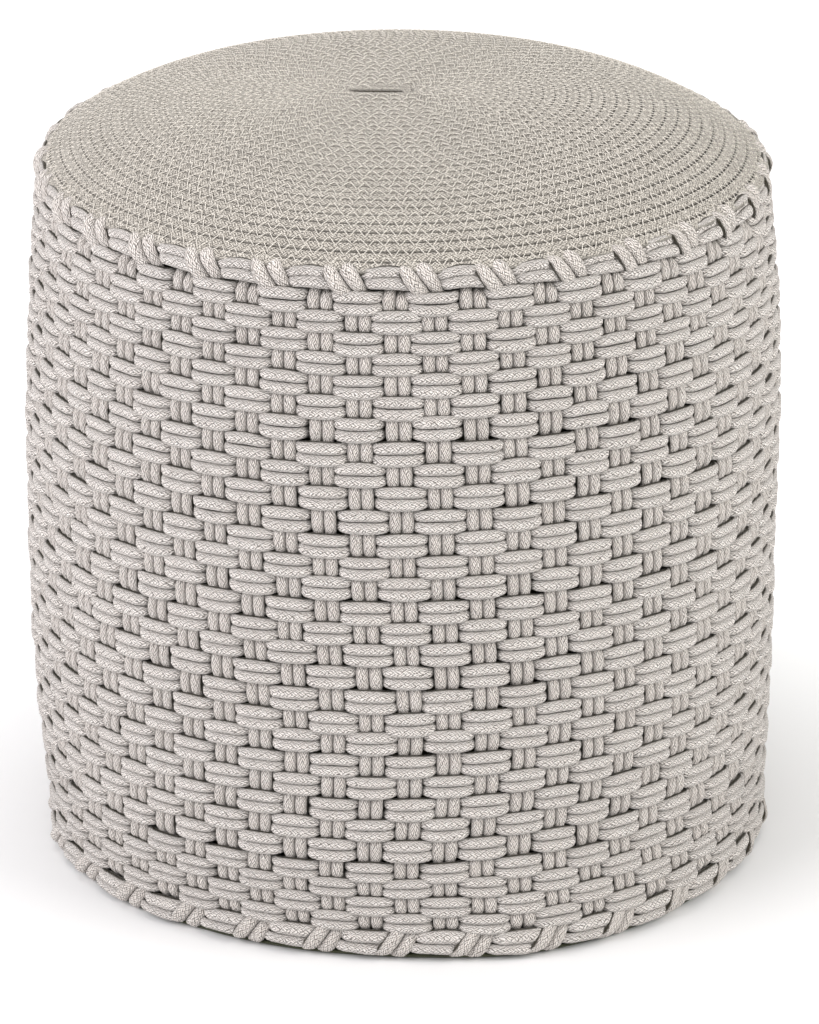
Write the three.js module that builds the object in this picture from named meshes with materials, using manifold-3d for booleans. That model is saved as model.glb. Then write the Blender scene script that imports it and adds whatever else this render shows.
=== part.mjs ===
// Round woven-rope ottoman footstool, in millimetres, +Z up, standing on z = 0.
// A pair of warp cords is laced up and down round the side, and rows of weft cords pass
// over and under it. The top is one cord wound in a flat coil. Linings, a bag with its
// filling and a base with a zip are inside and below. Angle 0 faces -Y, +X is to its right.

import * as THREE from 'three';
import { mergeVertices } from 'three/addons/utils/BufferGeometryUtils.js';
import Module from 'manifold-3d';

const wasm = await Module();
wasm.setup();

// Whole object
const widestRadius = 230;
const edgeHeight = 427;
const crownRise = 32;
const crownPower = 4;
const clearance = 0.3;

// Outline of the woven side, as shares of edgeHeight and of widestRadius, from the floor up
// to the shoulder and the top edge. The shoulder's height is that of the first row's foot.
const bellyHeightShares = [0, 0.35, 0.62];
const bellyRadiusShares = [0.978, 0.998, 0.997];
const shoulderRadiusShare = 0.958;
const edgeRadiusShare = 0.943;

// Weave
const columnCount = 64;
const rowCount = 32;
const weftThickness = 3;
const warpHalfShare = 0.31;
const turnHeight = 3.4;
const topLean = 11;
const bottomLean = 12;
const closeRowShare = 0.8;
const middlingRowShare = 0.9;
const closeTopCount = 5;
const middlingTopCount = 2;
const closeBottomCount = 4;

// Coiled top
const coilTurns = 22;
const coilOverhang = 1;
const coilHeight = 6.6;
const coilTurnGap = 0.6;

// Linings, bag and filling
const roundSteps = 22;
const sheetShares = [0, 0.55, 0.82, 1];
const liningThickness = 1.2;
const baseThickness = 1.6;
const bagThickness = 0.8;
const fillingEdgeRound = 24;
const fillingSideDraw = 4;

// Zip in the base, its rows of teeth on the inside
const slotEdgeMargin = 38;
const zipFloorGap = 0.8;
const tapeWidth = 14;
const tapeThickness = 0.8;
const tapeOverrun = 12;
const zipRowWidth = 2.6;
const zipRowHeight = 2;
const zipRowGap = 1.8;
const stopLength = 4;
const slotHalfWidth = 6.5;

// Zip slider and its pull
const sliderLength = 13;
const sliderTailWidth = 7.2;
const sliderFlange = 0.9;
const plateThickness = 1.3;
const pinRadius = 0.6;
const eyeRadius = 1.5;
const eyeWidth = 2.6;
const earThickness = 1;
const pullLength = 22;
const pullWidth = 6;
const pullThickness = 1.2;
const pullHoleWidth = 2.4;
const pullHoleLength = 7;
const barrelSteps = 10;

// Weave sizes that follow from the ones above. A straight run from one column to the next
// cuts inside the round by columnSag, and a warp's edges lie behind its ridge by edgeSag.
const columnStep = 2 * Math.PI / columnCount;
const warpHalfAngle = warpHalfShare * columnStep;
const columnSag = widestRadius * (1 - Math.cos(columnStep));
const edgeSag = widestRadius * (1 - Math.cos(warpHalfAngle));
const ridgeShare = warpHalfShare / (1 - 2 * warpHalfShare);
const warpRidge = ridgeShare * (2 * clearance + weftThickness) + warpHalfShare * columnSag - edgeSag;
const weftStand = warpRidge + clearance + weftThickness;
const weftDip = (clearance + edgeSag + warpHalfShare * (weftStand - columnSag)) / (1 - warpHalfShare);

// Rows, numbered 1 at the top to rowCount at the floor
function gapShare(gap) {
  const fromBottom = rowCount - gap;
  if (gap <= closeTopCount || fromBottom <= closeBottomCount) return closeRowShare;
  if (gap <= closeTopCount + middlingTopCount) return middlingRowShare;
  return 1;
}

let gapShareSum = 0;
for (let gap = 1; gap < rowCount; gap += 1) gapShareSum += gapShare(gap);
const rowsSpace = edgeHeight - coilHeight - 2 * clearance - 2 * turnHeight;
const rowPitch = rowsSpace / (gapShareSum + closeRowShare);
const coilSeat = edgeHeight - coilHeight;
const turnTop = coilSeat - clearance;
const turnFoot = turnTop - turnHeight;

function rowHalfHeight(row) {
  const above = gapShare(Math.max(row - 1, 1));
  const below = gapShare(Math.min(row, rowCount - 1));
  return (Math.min(above, below) * rowPitch - clearance) / 2;
}

function rowHeight(row) {
  let height = turnFoot - clearance - rowHalfHeight(1);
  for (let gap = 1; gap < row; gap += 1) height -= gapShare(gap) * rowPitch;
  return height;
}

const shoulderHeight = (rowHeight(1) + rowHeight(2)) / 2;
const ankleHeight = (rowHeight(rowCount - 1) + rowHeight(rowCount)) / 2;

// Outline of the side
const outline = bellyHeightShares.map((share, index) => ({
  height: share * edgeHeight,
  radius: bellyRadiusShares[index] * widestRadius,
}));
outline.push({ height: shoulderHeight, radius: shoulderRadiusShare * widestRadius });
outline.push({ height: edgeHeight, radius: edgeRadiusShare * widestRadius });

function sideRadius(height) {
  const top = outline.findIndex((point, index) => index > 0 && point.height >= height);
  const above = outline[top < 0 ? outline.length - 1 : top];
  const below = outline[outline.indexOf(above) - 1];
  const share = (height - below.height) / (above.height - below.height);
  return below.radius + share * (above.radius - below.radius);
}

function midRadius(height) {
  return sideRadius(height) - weftStand;
}

function innerRadius(height) {
  return midRadius(height) - weftDip - weftThickness;
}

// The warps stand upright, and lean to the left over the first row and under the last
function lean(height) {
  if (height > shoulderHeight) {
    const share = (height - shoulderHeight) / (turnTop - shoulderHeight);
    return -share * topLean / widestRadius;
  }
  if (height < ankleHeight) {
    return -(1 - height / ankleHeight) * bottomLean / widestRadius;
  }
  return 0;
}

function onSide(angle, height, offset) {
  const turned = angle + lean(height);
  const radius = midRadius(height) + offset;
  return new THREE.Vector3(radius * Math.sin(turned), -radius * Math.cos(turned), height);
}

// Joins rings of points, each with the same count, to one closed body
function tubeGeometry(rings, closed) {
  const sides = rings[0].length;
  const points = rings.flat();
  const faces = [];
  const spans = closed ? rings.length : rings.length - 1;
  for (let span = 0; span < spans; span += 1) {
    const here = span * sides;
    const next = ((span + 1) % rings.length) * sides;
    for (let side = 0; side < sides; side += 1) {
      const other = (side + 1) % sides;
      faces.push([here + side, here + other, next + other]);
      faces.push([here + side, next + other, next + side]);
    }
  }
  if (!closed) {
    const last = (rings.length - 1) * sides;
    for (let side = 1; side < sides - 1; side += 1) {
      faces.push([0, side + 1, side]);
      faces.push([last, last + side, last + side + 1]);
    }
  }
  return facing(points, faces);
}

// Builds a geometry whose faces all point out of the body
function facing(points, faces) {
  let volume = 0;
  for (const [first, second, third] of faces) {
    const normal = new THREE.Vector3().crossVectors(points[second], points[third]);
    volume += points[first].dot(normal);
  }
  const ordered = volume > 0 ? faces : faces.map(([first, second, third]) => [first, third, second]);
  const geometry = new THREE.BufferGeometry();
  const positions = points.flatMap((point) => point.toArray());
  geometry.setAttribute('position', new THREE.Float32BufferAttribute(positions, 3));
  geometry.setIndex(ordered.flat());
  return geometry;
}

// Solids that are cut or joined
function toSolid(geometry) {
  const bare = geometry.clone();
  bare.deleteAttribute('normal');
  bare.deleteAttribute('uv');
  const merged = mergeVertices(bare);
  return new wasm.Manifold(new wasm.Mesh({
    numProp: 3,
    vertProperties: merged.attributes.position.array,
    triVerts: new Uint32Array(merged.index.array),
  }));
}

function toGeometry(solid) {
  const mesh = solid.getMesh();
  const geometry = new THREE.BufferGeometry();
  geometry.setAttribute('position', new THREE.BufferAttribute(mesh.vertProperties, 3));
  geometry.setIndex(new THREE.BufferAttribute(mesh.triVerts, 1));
  return geometry;
}

function revolve(profile) {
  const geometry = new THREE.LatheGeometry(profile, roundSteps);
  geometry.rotateX(Math.PI / 2);
  return geometry;
}

function box(length, width, height) {
  return new THREE.BoxGeometry(length, width, height);
}

function extrudeUp(shape, height) {
  return new THREE.ExtrudeGeometry(shape, {
    depth: height,
    bevelEnabled: false,
    curveSegments: barrelSteps / 2,
  });
}

// Extrudes a shape drawn in Y and Z along X, centred on x = 0
function extrudeAlongX(shape, length) {
  const geometry = extrudeUp(shape, length);
  geometry.applyMatrix4(new THREE.Matrix4().set(0, 0, 1, -length / 2, 1, 0, 0, 0, 0, 1, 0, 0, 0, 0, 0, 1));
  return geometry;
}

// Extrudes a shape drawn in X and Z along Y, centred on y = 0
function extrudeAlongY(shape, width) {
  const geometry = extrudeUp(shape, width);
  geometry.translate(0, 0, -width / 2);
  geometry.rotateX(Math.PI / 2);
  return geometry;
}

// Materials
function material(colour, roughness, metalness = 0) {
  return new THREE.MeshStandardMaterial({ color: colour, roughness, metalness });
}

const cordMaterial = material('#c9bfae', 0.9);
const coilMaterial = material('#c4bba6', 0.9);
const liningMaterial = material('#4a483c', 0.95);
const baseMaterial = material('#45483f', 0.95);
const bagMaterial = material('#dcd9d2', 0.9);
const fillingMaterial = material('#efeee9', 0.8);
const tapeMaterial = material('#3c3d38', 0.9);
const zipRowMaterial = material('#2f302d', 0.5);
const metalMaterial = material('#8d8c86', 0.35, 0.9);

const ottoman = new THREE.Group();

function add(name, geometry, finish) {
  const mesh = new THREE.Mesh(geometry, finish);
  mesh.name = name;
  ottoman.add(mesh);
  return mesh;
}

// Rows of weft: each is one closed ring, over every second warp and under the others
function weftRow(row) {
  const height = rowHeight(row);
  const half = rowHalfHeight(row);
  const rings = [];
  for (let column = 0; column < columnCount; column += 1) {
    const angle = column * columnStep;
    const isOver = (row + column) % 2 === 1;
    const face = isOver ? weftStand : -weftDip;
    rings.push([
      onSide(angle, height + half, face),
      onSide(angle, height, face - weftThickness),
      onSide(angle, height - half, face),
    ]);
  }
  return tubeGeometry(rings, true);
}

for (let row = 1; row <= rowCount; row += 1) {
  add(`weft_row_${String(row).padStart(2, '0')}`, weftRow(row), cordMaterial);
}

// Lacing of warp cords: up one column, along under the coil's edge, down the next column
// and along under the base, all the way round. Each section is an edge, a ridge, an edge.
function warpSection(column, heights, ridge) {
  const angle = column * columnStep;
  const rises = column % 2 === 1;
  const firstAngle = angle + (rises ? -warpHalfAngle : warpHalfAngle);
  const lastAngle = angle + (rises ? warpHalfAngle : -warpHalfAngle);
  return [
    onSide(firstAngle, heights[0], 0),
    onSide(angle, heights[1], ridge),
    onSide(lastAngle, heights[2], 0),
  ];
}

function warpColumn(column) {
  const rises = column % 2 === 1;
  const topRidge = rises ? weftStand : warpRidge;
  const bottomRidge = rises ? warpRidge : weftStand;
  const posts = [ankleHeight];
  for (const point of outline.slice(1, -1)) posts.push(point.height);
  const sections = [warpSection(column, [0, 0, turnHeight], bottomRidge)];
  for (const height of posts) sections.push(warpSection(column, [height, height, height], warpRidge));
  const turnMiddle = (turnFoot + turnTop) / 2;
  sections.push(warpSection(column, [turnFoot, turnMiddle, turnTop], topRidge));
  return rises ? sections : sections.reverse();
}

const lacing = [];
for (let count = 0; count < columnCount; count += 1) {
  lacing.push(...warpColumn(columnCount - 1 - count));
}
add('warp_lacing', tubeGeometry(lacing, true), cordMaterial);

// Coiled top: one unbroken cord from the middle out, on a crown that is nearly flat in the
// middle and rounds down to its edge, which reaches a little over the warps' turns.
const coilRadius = midRadius(turnTop) + coilOverhang;

function crown(radius) {
  return coilSeat + crownRise * (1 - (radius / coilRadius) ** crownPower);
}

// Length of the crown's curve from its middle out to a number of equal steps of radius
const crownSteps = 200;
const crownLengths = [0];
for (let step = 1; step <= crownSteps; step += 1) {
  const here = coilRadius * step / crownSteps;
  const before = coilRadius * (step - 1) / crownSteps;
  crownLengths.push(crownLengths.at(-1) + Math.hypot(here - before, crown(here) - crown(before)));
}

// Radius at a length along the crown's curve
function crownRadius(length) {
  const found = crownLengths.findIndex((reached) => reached >= length);
  const step = Math.max(found < 0 ? crownSteps : found, 1);
  const before = crownLengths[step - 1];
  return coilRadius * (step - 1 + (length - before) / (crownLengths[step] - before)) / crownSteps;
}

const coilPitch = (crownLengths.at(-1) + coilTurnGap / 2) / (coilTurns + 1);
const coilWidth = coilPitch - coilTurnGap;

function coilSection(step) {
  const turns = step / roundSteps;
  const angle = turns * 2 * Math.PI;
  const middle = (turns + 1 / 2) * coilPitch;
  const inner = crownRadius(middle - coilWidth / 2);
  const outer = crownRadius(middle + coilWidth / 2);
  const tilt = Math.atan2(crown(inner) - crown(outer), outer - inner);
  const place = (radius, height) => new THREE.Vector3(
    radius * Math.sin(angle),
    -radius * Math.cos(angle),
    height,
  );
  const ridge = (inner + outer) / 2 + coilHeight * Math.sin(tilt);
  return [
    place(inner, crown(inner)),
    place(outer, crown(outer)),
    place(ridge, (crown(inner) + crown(outer)) / 2 + coilHeight * Math.cos(tilt)),
  ];
}

const coilRings = [];
for (let step = 0; step <= coilTurns * roundSteps; step += 1) coilRings.push(coilSection(step));

// The coil's outer end runs straight for one cord width
function straightEnd(end, before) {
  return end.map((point, index) => {
    const run = new THREE.Vector3().subVectors(point, before[index]);
    return point.clone().add(run.setLength(coilWidth));
  });
}

coilRings.push(straightEnd(coilRings.at(-1), coilRings.at(-2)));

function leastCoilGap() {
  let least = Infinity;
  for (let step = roundSteps; step < coilRings.length - 1; step += 1) {
    const inner = coilRings[step - roundSteps][1];
    least = Math.min(least, inner.distanceTo(coilRings[step][0]));
  }
  return least;
}

console.log(`least gap between the coil's turns: ${leastCoilGap().toFixed(2)} mm`);
add('coiled_top', tubeGeometry(coilRings, false), coilMaterial);

// Heights of the zip's layers, from the floor up. The lower plate of its slider runs in the
// base's slot, the tapes lie on the base, and the rows of teeth lie on the tapes.
const pinHeight = zipFloorGap + eyeRadius;
const sliderFoot = pinHeight + eyeRadius + clearance;
const lowerPlateTop = sliderFoot + plateThickness;
const tapeFoot = lowerPlateTop + clearance;
const zipRowFoot = tapeFoot + tapeThickness + clearance;
const upperPlateFoot = zipRowFoot + zipRowHeight + clearance;
const sliderTop = upperPlateFoot + plateThickness;
const baseTop = tapeFoot - clearance;
const baseFoot = baseTop - baseThickness;

// Linings
const liningFoot = baseTop + clearance;
const coilLiningRadius = innerRadius(turnTop) - clearance;

// A round sheet under the crown, from drop to drop + thickness below the coil's seat
function crownedSheet(radius, drop, thickness) {
  const top = sheetShares.map((share) => new THREE.Vector2(radius * share, crown(radius * share) - drop));
  const under = top.map((point) => new THREE.Vector2(point.x, point.y - thickness));
  return revolve([...under, ...top.reverse()]);
}

// A round wall of cloth with its bends at the given heights
function sheathWall(radiusAt, heights, thickness) {
  const outside = heights.map((height) => new THREE.Vector2(radiusAt(height), height));
  const inside = outside.map((point) => new THREE.Vector2(point.x - thickness, point.y));
  return revolve([...outside, ...inside.reverse(), outside[0]]);
}

const topLiningUnder = crown(coilLiningRadius) - clearance - liningThickness;
const liningTop = topLiningUnder - clearance;
const liningRadius = (height) => innerRadius(height) - clearance;
add('top_lining', crownedSheet(coilLiningRadius, clearance, liningThickness), liningMaterial);
const liningBends = outline.slice(1, -1).map((point) => point.height);
const liningWall = sheathWall(liningRadius, [liningFoot, ...liningBends, liningTop], liningThickness);
add('side_lining', liningWall, liningMaterial);

// Bag inside the linings
const bagRadius = (height) => liningRadius(height) - liningThickness - clearance;
const bagFoot = sliderTop + clearance;
const bagWallFoot = bagFoot + bagThickness + clearance;
const bagTopRadius = bagRadius(liningTop);
const bagDrop = 2 * clearance + liningThickness;
const bagWallTop = crown(bagTopRadius) - bagDrop - bagThickness - clearance;
add('bag_top', crownedSheet(bagTopRadius, bagDrop, bagThickness), bagMaterial);
const bagBends = [outline[1].height, shoulderHeight];
const bagWall = sheathWall(bagRadius, [bagWallFoot, ...bagBends, bagWallTop], bagThickness);
add('bag_wall', bagWall, bagMaterial);
const bagBase = revolve([
  new THREE.Vector2(0, bagFoot),
  new THREE.Vector2(bagRadius(bagFoot), bagFoot),
  new THREE.Vector2(bagRadius(bagFoot), bagFoot + bagThickness),
  new THREE.Vector2(0, bagFoot + bagThickness),
]);
add('bag_base', bagBase, bagMaterial);

// Filling: a crowned cushion with soft edges, its side drawn in between them
const fillingFoot = bagWallFoot;
const fillingDrop = bagDrop + bagThickness + clearance;
const fillingSide = (height) => bagRadius(height) - bagThickness - clearance;
const fillingShoulder = crown(fillingSide(bagWallTop)) - fillingDrop;
const fillingFootRadius = fillingSide(fillingFoot) - fillingEdgeRound;
const fillingMiddle = (fillingFoot + fillingShoulder) / 2;
const fillingCrown = sheetShares.slice(0, -1).reverse().map((share) => {
  const radius = share * bagTopRadius;
  return new THREE.Vector2(radius, crown(radius) - fillingDrop);
});
const filling = revolve([
  new THREE.Vector2(0, fillingFoot),
  new THREE.Vector2(fillingFootRadius, fillingFoot),
  new THREE.Vector2(fillingSide(fillingFoot), fillingFoot + fillingEdgeRound),
  new THREE.Vector2(fillingSide(fillingMiddle) - fillingSideDraw, fillingMiddle),
  new THREE.Vector2(fillingSide(fillingShoulder), fillingShoulder - fillingEdgeRound),
  ...fillingCrown,
]);
add('filling', filling, fillingMaterial);

// Base panel with the slot for the zip
const baseRadius = liningRadius(baseTop);
const slotHalfLength = baseRadius - slotEdgeMargin;
const zipLength = 2 * (slotHalfLength - stopLength - clearance);
const baseShape = new THREE.Shape();
baseShape.absarc(0, 0, baseRadius, 0, 2 * Math.PI, false);
const slot = new THREE.Path();
slot.moveTo(-slotHalfLength, -slotHalfWidth);
slot.lineTo(-slotHalfLength, slotHalfWidth);
slot.lineTo(slotHalfLength, slotHalfWidth);
slot.lineTo(slotHalfLength, -slotHalfWidth);
slot.closePath();
baseShape.holes.push(slot);
const basePanel = new THREE.ExtrudeGeometry(baseShape, {
  depth: baseThickness,
  bevelEnabled: false,
  curveSegments: roundSteps / 2,
});
basePanel.translate(0, 0, baseFoot);
add('base_panel', basePanel, baseMaterial);

// Zip tapes, rows and stops, one of each on the front and on the back of the slot
const rowInner = zipRowGap / 2;
const tapeLength = zipLength + 2 * tapeOverrun;
const stopX = zipLength / 2 + clearance + stopLength / 2;
const stopWidth = zipRowWidth + sliderFlange / 2;
for (const [side, sign] of [['front', -1], ['back', 1]]) {
  const tape = add(`zip_tape_${side}`, box(tapeLength, tapeWidth, tapeThickness), tapeMaterial);
  tape.position.set(0, sign * (rowInner + tapeWidth / 2), tapeFoot + tapeThickness / 2);
  const row = add(`zip_row_${side}`, box(zipLength, zipRowWidth, zipRowHeight), zipRowMaterial);
  row.position.set(0, sign * (rowInner + zipRowWidth / 2), zipRowFoot + zipRowHeight / 2);
  const stop = add(`zip_top_stop_${side}`, box(stopLength, stopWidth, zipRowHeight), metalMaterial);
  stop.position.set(stopX, sign * (rowInner + stopWidth / 2), zipRowFoot + zipRowHeight / 2);
}
const bottomStopWidth = 2 * (rowInner + stopWidth);
const bottomStop = add('zip_bottom_stop', box(stopLength, bottomStopWidth, zipRowHeight), metalMaterial);
bottomStop.position.set(-stopX, 0, zipRowFoot + zipRowHeight / 2);

// Slider: two plates on a web between the rows, with flanges round them and two ears that
// hold the pull's pin. It is drawn about its own middle and stands at the zip's closed end.
const sliderX = zipLength / 2 - clearance - sliderLength / 2;
const flangeInner = rowInner + zipRowWidth + clearance;
const sliderHalfWidth = flangeInner + sliderFlange;
const webHalf = rowInner - clearance;

function sliderSection() {
  const half = [
    [sliderHalfWidth, sliderFoot],
    [sliderHalfWidth, lowerPlateTop],
    [webHalf, lowerPlateTop],
    [webHalf, upperPlateFoot],
    [flangeInner, upperPlateFoot],
    [flangeInner, zipRowFoot],
    [sliderHalfWidth, zipRowFoot],
    [sliderHalfWidth, sliderTop],
  ];
  const mirrored = half.map(([across, up]) => [-across, up]).reverse();
  return new THREE.Shape([...half, ...mirrored].map(([across, up]) => new THREE.Vector2(across, up)));
}

function sliderPlan() {
  const nose = sliderLength / 2;
  const shoulder = nose - sliderHalfWidth / 2;
  const plan = new THREE.Shape();
  plan.moveTo(-nose, -sliderTailWidth / 2);
  plan.lineTo(0, -sliderHalfWidth);
  plan.lineTo(shoulder, -sliderHalfWidth);
  plan.quadraticCurveTo(nose, -sliderHalfWidth, nose, 0);
  plan.quadraticCurveTo(nose, sliderHalfWidth, shoulder, sliderHalfWidth);
  plan.lineTo(0, sliderHalfWidth);
  plan.lineTo(-nose, sliderTailWidth / 2);
  plan.closePath();
  return plan;
}

function sliderEar(sign) {
  const ear = new THREE.Shape();
  ear.moveTo(-eyeRadius, plateThickness / 2 + clearance + eyeRadius);
  ear.lineTo(-eyeRadius, 0);
  ear.absarc(0, 0, eyeRadius, Math.PI, 2 * Math.PI, false);
  ear.lineTo(eyeRadius, plateThickness / 2 + clearance + eyeRadius);
  ear.closePath();
  const geometry = extrudeAlongY(ear, earThickness);
  geometry.translate(0, sign * (eyeWidth / 2 + clearance + earThickness / 2), pinHeight);
  return toSolid(geometry);
}

function sliderBody() {
  const height = sliderTop - sliderFoot;
  const plan = extrudeUp(sliderPlan(), height + 2 * clearance);
  plan.translate(0, 0, sliderFoot - clearance);
  const pinLength = eyeWidth + 2 * clearance + earThickness;
  const pin = new THREE.CylinderGeometry(pinRadius, pinRadius, pinLength, barrelSteps);
  pin.translate(0, 0, pinHeight);
  return toSolid(extrudeAlongX(sliderSection(), sliderLength))
    .intersect(toSolid(plan))
    .add(sliderEar(-1))
    .add(sliderEar(1))
    .add(toSolid(pin));
}

const slider = add('zip_slider', toGeometry(sliderBody()), metalMaterial);
slider.position.set(sliderX, 0, 0);

// Pull: an eye round the slider's pin and a flat tab with a slot, lying towards the zip
function pullBody() {
  const bore = pinRadius + clearance;
  const arm = eyeRadius + 2 * clearance;
  const eye = new THREE.Shape();
  eye.absarc(0, 0, eyeRadius, 0, 2 * Math.PI, false);
  const boreEdge = new THREE.Path();
  boreEdge.absarc(0, 0, bore, 0, 2 * Math.PI, true);
  eye.holes.push(boreEdge);
  const armBox = box(arm, eyeWidth, pullThickness);
  armBox.translate(-(bore + eyeRadius + arm) / 2, 0, 0);
  const tab = new THREE.Shape();
  const start = -arm;
  const end = -pullLength + pullWidth / 2;
  tab.moveTo(start, pullWidth / 2);
  tab.lineTo(end, pullWidth / 2);
  tab.absarc(end, 0, pullWidth / 2, Math.PI / 2, 3 * Math.PI / 2, false);
  tab.lineTo(start, -pullWidth / 2);
  tab.closePath();
  const hole = new THREE.Path();
  const holeEnd = end + pullHoleLength - pullHoleWidth;
  hole.moveTo(holeEnd, -pullHoleWidth / 2);
  hole.lineTo(end, -pullHoleWidth / 2);
  hole.absarc(end, 0, pullHoleWidth / 2, 3 * Math.PI / 2, Math.PI / 2, true);
  hole.lineTo(holeEnd, pullHoleWidth / 2);
  hole.closePath();
  tab.holes.push(hole);
  const tabPlate = extrudeUp(tab, pullThickness);
  tabPlate.translate(0, 0, -pullThickness / 2);
  return toSolid(extrudeAlongY(eye, eyeWidth))
    .add(toSolid(armBox))
    .add(toSolid(tabPlate));
}

const pull = add('zip_pull', toGeometry(pullBody()), metalMaterial);
pull.position.set(sliderX, 0, pinHeight);

export default ottoman;
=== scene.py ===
"""Looks of the round woven-rope footstool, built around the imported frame.

Lengths are in millimetres until a mesh is made, then in metres. Angle 0 faces -Y and +X is to its right.
"""

import math

import bpy
import numpy as np
from mathutils import Matrix, Vector


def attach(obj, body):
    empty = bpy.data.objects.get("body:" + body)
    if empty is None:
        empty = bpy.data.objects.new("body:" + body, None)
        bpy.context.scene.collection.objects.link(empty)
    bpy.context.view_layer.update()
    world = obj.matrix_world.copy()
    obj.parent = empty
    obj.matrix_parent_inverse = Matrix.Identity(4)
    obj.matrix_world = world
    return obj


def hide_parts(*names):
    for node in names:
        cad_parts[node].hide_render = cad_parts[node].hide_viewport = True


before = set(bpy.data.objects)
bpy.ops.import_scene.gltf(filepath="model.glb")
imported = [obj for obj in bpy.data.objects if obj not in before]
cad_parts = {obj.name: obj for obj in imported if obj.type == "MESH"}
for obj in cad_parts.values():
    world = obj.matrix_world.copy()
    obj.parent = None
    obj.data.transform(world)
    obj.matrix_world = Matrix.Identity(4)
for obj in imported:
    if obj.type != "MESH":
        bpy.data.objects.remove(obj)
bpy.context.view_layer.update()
MM = 0.001
UP = np.array([[0.0, 0.0, 1.0]])

# Sizes that the frame was built with, where the crown's power is 4. The outline is of the weave's
# outer face, and the stand is how far that lies outside the weave's middle.
WIDEST_RADIUS = 230.0
EDGE_HEIGHT = 427.0
CROWN_RISE = 32.0
CROWN_POWER = 4.2
COIL_HEIGHT = 6.6
COIL_SEAT = EDGE_HEIGHT - COIL_HEIGHT
COLUMNS = 64
ROWS = 32
COLUMN_STEP = 2 * math.pi / COLUMNS
COLUMN_WIDTH = COLUMN_STEP * WIDEST_RADIUS
WEFT_STAND = 6.47
OUTLINE_HEIGHTS = np.array([0.0, 149.45, 264.74, 405.5, 427.0])
OUTLINE_RADII = WIDEST_RADIUS * np.array([0.978, 0.998, 0.997, 0.958, 0.943])

# Cords of the side: half of their width and thickness, and how far they swing in and out
WEFT_HALF = 3.82
WEFT_THICK = 2.85
WEFT_SWING = 3.7
WARP_HALF = 3.56
WARP_THICK = 2.75
WARP_SWING = 2.0
PAIR_SPREAD = 0.985
BRAID_PITCH = 4.2
BRAID_STRANDS = 10


def smoothstep(low, high, x):
    t = np.clip((x - low) / (high - low), 0, 1)
    return t * t * (3 - 2 * t)


def flatten_wave(x, sharpness):
    """A wave from -1 to 1 with flatter crests."""
    return np.tanh(sharpness * x) / np.tanh(sharpness)


def ring_noise(rng, knots, at, size):
    """Smooth noise that closes on itself after that many knots."""
    values = rng.normal(0, size, knots)
    knot = np.floor(at).astype(int)
    t = smoothstep(0, 1, at - knot)
    return values[knot % knots] * (1 - t) + values[(knot + 1) % knots] * t


# Gaps from each row to the next one down, and the share of its full width that each row has
ROW_ONE = 421.8
ROW_GAPS = [13.6] + 4 * [11.8] + 4 * [13.3] + 18 * [13.83] + 3 * [11.2] + [12.6]
ROW_HEIGHTS = ROW_ONE - np.concatenate([[0], np.cumsum(ROW_GAPS)])
ROW_SQUEEZE = np.interp(np.arange(1, ROWS + 1), [1, 5, 7, 27, 28, 32], [0.94, 0.95, 1, 1, 0.87, 0.87])


def smooth_through(xs, ys, at):
    """A monotone cubic through the points."""
    widths = np.diff(xs)
    slopes = np.diff(ys) / widths
    before, after = slopes[:-1], slopes[1:]
    inner = np.where(before * after > 0, 2 * before * after / (before + after + 1e-12), 0)
    tangents = np.concatenate([[slopes[0]], inner, [slopes[-1]]])
    span = np.clip(np.searchsorted(xs, at) - 1, 0, len(xs) - 2)
    h = widths[span]
    t = (at - xs[span]) / h
    return (
        (2 * t**3 - 3 * t**2 + 1) * ys[span]
        + (t**3 - 2 * t**2 + t) * h * tangents[span]
        + (3 * t**2 - 2 * t**3) * ys[span + 1]
        + (t**3 - t**2) * h * tangents[span + 1]
    )


HEIGHT_TABLE = np.linspace(0, EDGE_HEIGHT, 500)
RADIUS_TABLE = smooth_through(OUTLINE_HEIGHTS, OUTLINE_RADII, HEIGHT_TABLE)


def mid_radius(height):
    """Radius of the middle of the weave."""
    return np.interp(height, HEIGHT_TABLE, RADIUS_TABLE) - WEFT_STAND


def on_side(angle, height, offset):
    radius = mid_radius(height) + offset
    return np.stack([radius * np.sin(angle), -radius * np.cos(angle), height + 0 * radius], -1)


def out_from_axis(angle):
    return np.stack([np.sin(angle), -np.cos(angle), 0 * angle], -1)


def unit(vectors):
    return vectors / np.maximum(np.linalg.norm(vectors, axis=-1, keepdims=True), 1e-9)


RIM_LIFT = 7
RIM_BAND = (417, 424)


def side_lift(points):
    """How far points lie outside the middle of the weave, and more at the top rim. It sets where the braid's
    painted shade falls, so the rim's turns get less of it.
    """
    over_rim = RIM_LIFT * smoothstep(*RIM_BAND, points[:, 2])
    return np.hypot(points[:, 0], points[:, 1]) - mid_radius(points[:, 2]) + over_rim


# Slow unevenness of the whole footstool: rows that sag to the sides, columns that drift round the
# barrel, a top that sits a little to the right and leans, and a foot that is not quite round
SAG_HEIGHTS = [0, 20, 70, 150, 250, 350, 400, 427]
SAG_RIGHT = [0, 3.5, 12.5, 18.0, 15.5, 13.0, 10.0, 4.0]
SAG_LEFT = [0, 3.5, 11.0, 14.5, 10.0, 5.0, 3.0, 1.0]
TWIST_HEIGHTS = [0, 55, 74, 110, 147, 183, 220, 256, 292, 329, 401, 421]
TWIST = [0, 0, 0.9, 3.0, 4.0, 3.0, 1.2, -0.6, -2.4, -4.0, -4.8, -6.0]
SHIFT_HEIGHTS = [20, 80, 200, 330, 460]
SHIFT = [0, -1.0, -1.0, 2.4, 3.0]
FOOT_ANGLES = np.array([-180, -115, -90, -79, -67, -54, -44, -33, -10, 3, 20, 36, 46, 60, 72, 90, 115, 180.0])
FOOT_SWELL = np.array([0, -1, -5, 0, 5, 4.5, 4, 0.5, 0, 3, 11, 11.5, 10, 7.5, 4, -3, -1, 0])
TOP_LEAN = 0.0105
LEAN_REACH = 212
SHOULDER = 0.005
SAG_RING = (150, 215)
TOP_BAND = (380, 427)
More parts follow.
